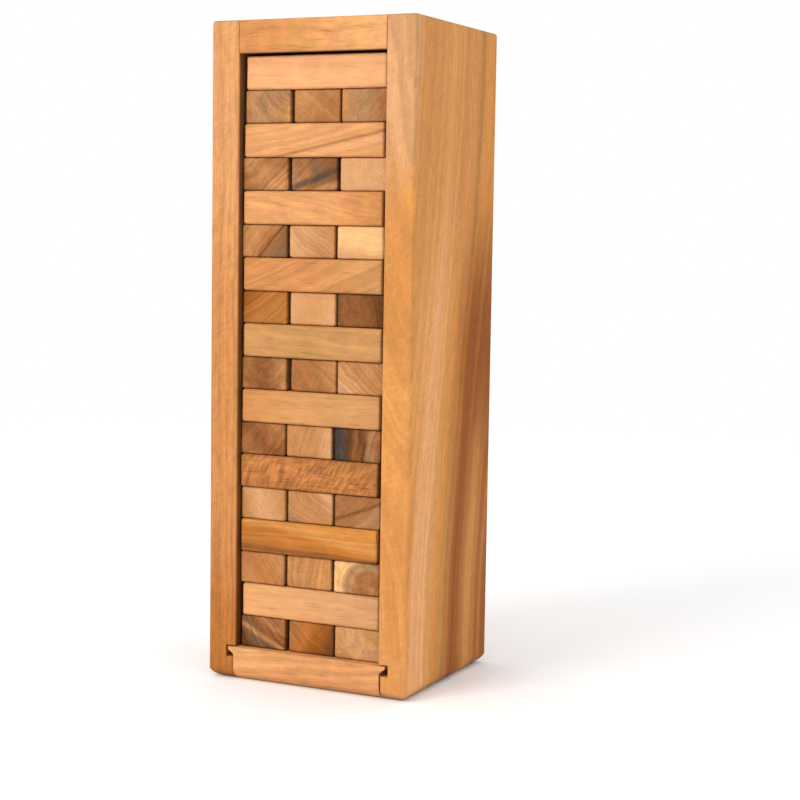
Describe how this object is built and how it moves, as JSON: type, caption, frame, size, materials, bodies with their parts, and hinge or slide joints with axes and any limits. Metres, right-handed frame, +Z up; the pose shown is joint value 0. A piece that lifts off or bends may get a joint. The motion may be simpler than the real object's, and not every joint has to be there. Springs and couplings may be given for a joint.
{
  "type": "tumbling tower game in a wooden case",
  "caption": "Stacked wooden block tower in a tall open-fronted wooden case; layers alternate in direction, and the base slides out on tongues in side grooves.",
  "frame": {"origin": "bottom centre of the case, on the surface it stands on", "axes": "+Z up, the open front faces -Y, +X to the right of someone who looks at the front"},
  "size_m": [0.08, 0.07, 0.235],
  "materials": {
    "case_wood": "smooth sanded wood with a thin satin finish",
    "base_wood": "smooth sanded wood with a thin satin finish",
    "block_wood_pale": "smooth bare sanded wood",
    "block_wood_tan": "smooth bare sanded wood",
    "block_wood_brown": "smooth bare sanded wood, dark heartwood"
  },
  "bodies": {
    "case": {"side_left": "case_wood", "side_right": "case_wood", "back_panel": "case_wood", "top_panel": "case_wood"},
    "base": {"sliding_base": "base_wood"},
    "block_01_left": {"block_01_left": "block_wood_brown"},
    "block_01_middle": {"block_01_middle": "block_wood_tan"},
    "block_01_right": {"block_01_right": "block_wood_tan"},
    "block_02_front": {"block_02_front": "block_wood_pale"},
    "block_02_middle": {"block_02_middle": "block_wood_tan"},
    "block_02_rear": {"block_02_rear": "block_wood_brown"},
    "block_03_left": {"block_03_left": "block_wood_tan"},
    "block_03_middle": {"block_03_middle": "block_wood_tan"},
    "block_03_right": {"block_03_right": "block_wood_brown"},
    "block_04_front": {"block_04_front": "block_wood_tan"},
    "block_04_middle": {"block_04_middle": "block_wood_brown"},
    "block_04_rear": {"block_04_rear": "block_wood_tan"},
    "block_05_left": {"block_05_left": "block_wood_tan"},
    "block_05_middle": {"block_05_middle": "block_wood_tan"},
    "block_05_right": {"block_05_right": "block_wood_brown"},
    "block_06_front": {"block_06_front": "block_wood_brown"},
    "block_06_middle": {"block_06_middle": "block_wood_tan"},
    "block_06_rear": {"block_06_rear": "block_wood_pale"},
    "block_07_left": {"block_07_left": "block_wood_brown"},
    "block_07_middle": {"block_07_middle": "block_wood_tan"},
    "block_07_right": {"block_07_right": "block_wood_brown"},
    "block_08_front": {"block_08_front": "block_wood_tan"},
    "block_08_middle": {"block_08_middle": "block_wood_pale"},
    "block_08_rear": {"block_08_rear": "block_wood_brown"},
    "block_09_left": {"block_09_left": "block_wood_tan"},
    "block_09_middle": {"block_09_middle": "block_wood_tan"},
    "block_09_right": {"block_09_right": "block_wood_tan"},
    "block_10_front": {"block_10_front": "block_wood_tan"},
    "block_10_middle": {"block_10_middle": "block_wood_tan"},
    "block_10_rear": {"block_10_rear": "block_wood_pale"},
    "block_11_left": {"block_11_left": "block_wood_tan"},
    "block_11_middle": {"block_11_middle": "block_wood_pale"},
    "block_11_right": {"block_11_right": "block_wood_brown"},
    "block_12_front": {"block_12_front": "block_wood_tan"},
    "block_12_middle": {"block_12_middle": "block_wood_brown"},
    "block_12_rear": {"block_12_rear": "block_wood_tan"},
    "block_13_left": {"block_13_left": "block_wood_brown"},
    "block_13_middle": {"block_13_middle": "block_wood_tan"},
    "block_13_right": {"block_13_right": "block_wood_pale"},
    "block_14_front": {"block_14_front": "block_wood_tan"},
    "block_14_middle": {"block_14_middle": "block_wood_pale"},
    "block_14_rear": {"block_14_rear": "block_wood_tan"},
    "block_15_left": {"block_15_left": "block_wood_brown"},
    "block_15_middle": {"block_15_middle": "block_wood_brown"},
    "block_15_right": {"block_15_right": "block_wood_pale"},
    "block_16_front": {"block_16_front": "block_wood_tan"},
    "block_16_middle": {"block_16_middle": "block_wood_tan"},
    "block_16_rear": {"block_16_rear": "block_wood_brown"},
    "block_17_left": {"block_17_left": "block_wood_brown"},
    "block_17_middle": {"block_17_middle": "block_wood_tan"},
    "block_17_right": {"block_17_right": "block_wood_tan"},
    "block_18_front": {"block_18_front": "block_wood_pale"},
    "block_18_middle": {"block_18_middle": "block_wood_tan"},
    "block_18_rear": {"block_18_rear": "block_wood_brown"}
  },
  "joints": [
    {"name": "base_slide", "type": "slide", "parent": "case", "child": "base", "axis": [0, -1, 0], "range_m": [0, 0.06]},
    {"name": "block_01_left_slide", "type": "slide", "parent": "case", "child": "block_01_left", "axis": [0, -1, 0], "range_m": [0, 0.06]},
    {"name": "block_01_middle_slide", "type": "slide", "parent": "case", "child": "block_01_middle", "axis": [0, -1, 0], "range_m": [0, 0.06]},
    {"name": "block_01_right_slide", "type": "slide", "parent": "case", "child": "block_01_right", "axis": [0, -1, 0], "range_m": [0, 0.06]},
    {"name": "block_02_rear_slide", "type": "slide", "parent": "case", "child": "block_02_rear", "axis": [0, -1, 0], "range_m": [0, 0.06]},
    {"name": "block_02_middle_slide", "type": "slide", "parent": "block_02_rear", "child": "block_02_middle", "axis": [0, -1, 0], "range_m": [0, 0.041]},
    {"name": "block_02_front_slide", "type": "slide", "parent": "block_02_middle", "child": "block_02_front", "axis": [0, -1, 0], "range_m": [0, 0.022]},
    {"name": "block_03_left_slide", "type": "slide", "parent": "case", "child": "block_03_left", "axis": [0, -1, 0], "range_m": [0, 0.06]},
    {"name": "block_03_middle_slide", "type": "slide", "parent": "case", "child": "block_03_middle", "axis": [0, -1, 0], "range_m": [0, 0.06]},
    {"name": "block_03_right_slide", "type": "slide", "parent": "case", "child": "block_03_right", "axis": [0, -1, 0], "range_m": [0, 0.06]},
    {"name": "block_04_rear_slide", "type": "slide", "parent": "case", "child": "block_04_rear", "axis": [0, -1, 0], "range_m": [0, 0.06]},
    {"name": "block_04_middle_slide", "type": "slide", "parent": "block_04_rear", "child": "block_04_middle", "axis": [0, -1, 0], "range_m": [0, 0.041]},
    {"name": "block_04_front_slide", "type": "slide", "parent": "block_04_middle", "child": "block_04_front", "axis": [0, -1, 0], "range_m": [0, 0.022]},
    {"name": "block_05_left_slide", "type": "slide", "parent": "case", "child": "block_05_left", "axis": [0, -1, 0], "range_m": [0, 0.06]},
    {"name": "block_05_middle_slide", "type": "slide", "parent": "case", "child": "block_05_middle", "axis": [0, -1, 0], "range_m": [0, 0.06]},
    {"name": "block_05_right_slide", "type": "slide", "parent": "case", "child": "block_05_right", "axis": [0, -1, 0], "range_m": [0, 0.06]},
    {"name": "block_06_rear_slide", "type": "slide", "parent": "case", "child": "block_06_rear", "axis": [0, -1, 0], "range_m": [0, 0.06]},
    {"name": "block_06_middle_slide", "type": "slide", "parent": "block_06_rear", "child": "block_06_middle", "axis": [0, -1, 0], "range_m": [0, 0.041]},
    {"name": "block_06_front_slide", "type": "slide", "parent": "block_06_middle", "child": "block_06_front", "axis": [0, -1, 0], "range_m": [0, 0.022]},
    {"name": "block_07_left_slide", "type": "slide", "parent": "case", "child": "block_07_left", "axis": [0, -1, 0], "range_m": [0, 0.06]},
    {"name": "block_07_middle_slide", "type": "slide", "parent": "case", "child": "block_07_middle", "axis": [0, -1, 0], "range_m": [0, 0.06]},
    {"name": "block_07_right_slide", "type": "slide", "parent": "case", "child": "block_07_right", "axis": [0, -1, 0], "range_m": [0, 0.06]},
    {"name": "block_08_rear_slide", "type": "slide", "parent": "case", "child": "block_08_rear", "axis": [0, -1, 0], "range_m": [0, 0.06]},
    {"name": "block_08_middle_slide", "type": "slide", "parent": "block_08_rear", "child": "block_08_middle", "axis": [0, -1, 0], "range_m": [0, 0.041]},
    {"name": "block_08_front_slide", "type": "slide", "parent": "block_08_middle", "child": "block_08_front", "axis": [0, -1, 0], "range_m": [0, 0.022]},
    {"name": "block_09_left_slide", "type": "slide", "parent": "case", "child": "block_09_left", "axis": [0, -1, 0], "range_m": [0, 0.06]},
    {"name": "block_09_middle_slide", "type": "slide", "parent": "case", "child": "block_09_middle", "axis": [0, -1, 0], "range_m": [0, 0.06]},
    {"name": "block_09_right_slide", "type": "slide", "parent": "case", "child": "block_09_right", "axis": [0, -1, 0], "range_m": [0, 0.06]},
    {"name": "block_10_rear_slide", "type": "slide", "parent": "case", "child": "block_10_rear", "axis": [0, -1, 0], "range_m": [0, 0.06]},
    {"name": "block_10_middle_slide", "type": "slide", "parent": "block_10_rear", "child": "block_10_middle", "axis": [0, -1, 0], "range_m": [0, 0.041]},
    {"name": "block_10_front_slide", "type": "slide", "parent": "block_10_middle", "child": "block_10_front", "axis": [0, -1, 0], "range_m": [0, 0.022]},
    {"name": "block_11_left_slide", "type": "slide", "parent": "case", "child": "block_11_left", "axis": [0, -1, 0], "range_m": [0, 0.06]},
    {"name": "block_11_middle_slide", "type": "slide", "parent": "case", "child": "block_11_middle", "axis": [0, -1, 0], "range_m": [0, 0.06]},
    {"name": "block_11_right_slide", "type": "slide", "parent": "case", "child": "block_11_right", "axis": [0, -1, 0], "range_m": [0, 0.06]},
    {"name": "block_12_rear_slide", "type": "slide", "parent": "case", "child": "block_12_rear", "axis": [0, -1, 0], "range_m": [0, 0.06]},
    {"name": "block_12_middle_slide", "type": "slide", "parent": "block_12_rear", "child": "block_12_middle", "axis": [0, -1, 0], "range_m": [0, 0.041]},
    {"name": "block_12_front_slide", "type": "slide", "parent": "block_12_middle", "child": "block_12_front", "axis": [0, -1, 0], "range_m": [0, 0.022]},
    {"name": "block_13_left_slide", "type": "slide", "parent": "case", "child": "block_13_left", "axis": [0, -1, 0], "range_m": [0, 0.06]},
    {"name": "block_13_middle_slide", "type": "slide", "parent": "case", "child": "block_13_middle", "axis": [0, -1, 0], "range_m": [0, 0.06]},
    {"name": "block_13_right_slide", "type": "slide", "parent": "case", "child": "block_13_right", "axis": [0, -1, 0], "range_m": [0, 0.06]},
    {"name": "block_14_rear_slide", "type": "slide", "parent": "case", "child": "block_14_rear", "axis": [0, -1, 0], "range_m": [0, 0.06]},
    {"name": "block_14_middle_slide", "type": "slide", "parent": "block_14_rear", "child": "block_14_middle", "axis": [0, -1, 0], "range_m": [0, 0.041]},
    {"name": "block_14_front_slide", "type": "slide", "parent": "block_14_middle", "child": "block_14_front", "axis": [0, -1, 0], "range_m": [0, 0.022]},
    {"name": "block_15_left_slide", "type": "slide", "parent": "case", "child": "block_15_left", "axis": [0, -1, 0], "range_m": [0, 0.06]},
    {"name": "block_15_middle_slide", "type": "slide", "parent": "case", "child": "block_15_middle", "axis": [0, -1, 0], "range_m": [0, 0.06]},
    {"name": "block_15_right_slide", "type": "slide", "parent": "case", "child": "block_15_right", "axis": [0, -1, 0], "range_m": [0, 0.06]},
    {"name": "block_16_rear_slide", "type": "slide", "parent": "case", "child": "block_16_rear", "axis": [0, -1, 0], "range_m": [0, 0.06]},
    {"name": "block_16_middle_slide", "type": "slide", "parent": "block_16_rear", "child": "block_16_middle", "axis": [0, -1, 0], "range_m": [0, 0.041]},
    {"name": "block_16_front_slide", "type": "slide", "parent": "block_16_middle", "child": "block_16_front", "axis": [0, -1, 0], "range_m": [0, 0.022]},
    {"name": "block_17_left_slide", "type": "slide", "parent": "case", "child": "block_17_left", "axis": [0, -1, 0], "range_m": [0, 0.06]},
    {"name": "block_17_middle_slide", "type": "slide", "parent": "case", "child": "block_17_middle", "axis": [0, -1, 0], "range_m": [0, 0.06]},
    {"name": "block_17_right_slide", "type": "slide", "parent": "case", "child": "block_17_right", "axis": [0, -1, 0], "range_m": [0, 0.06]},
    {"name": "block_18_rear_slide", "type": "slide", "parent": "case", "child": "block_18_rear", "axis": [0, -1, 0], "range_m": [0, 0.06]},
    {"name": "block_18_middle_slide", "type": "slide", "parent": "block_18_rear", "child": "block_18_middle", "axis": [0, -1, 0], "range_m": [0, 0.041]},
    {"name": "block_18_front_slide", "type": "slide", "parent": "block_18_middle", "child": "block_18_front", "axis": [0, -1, 0], "range_m": [0, 0.022]}
  ]
}
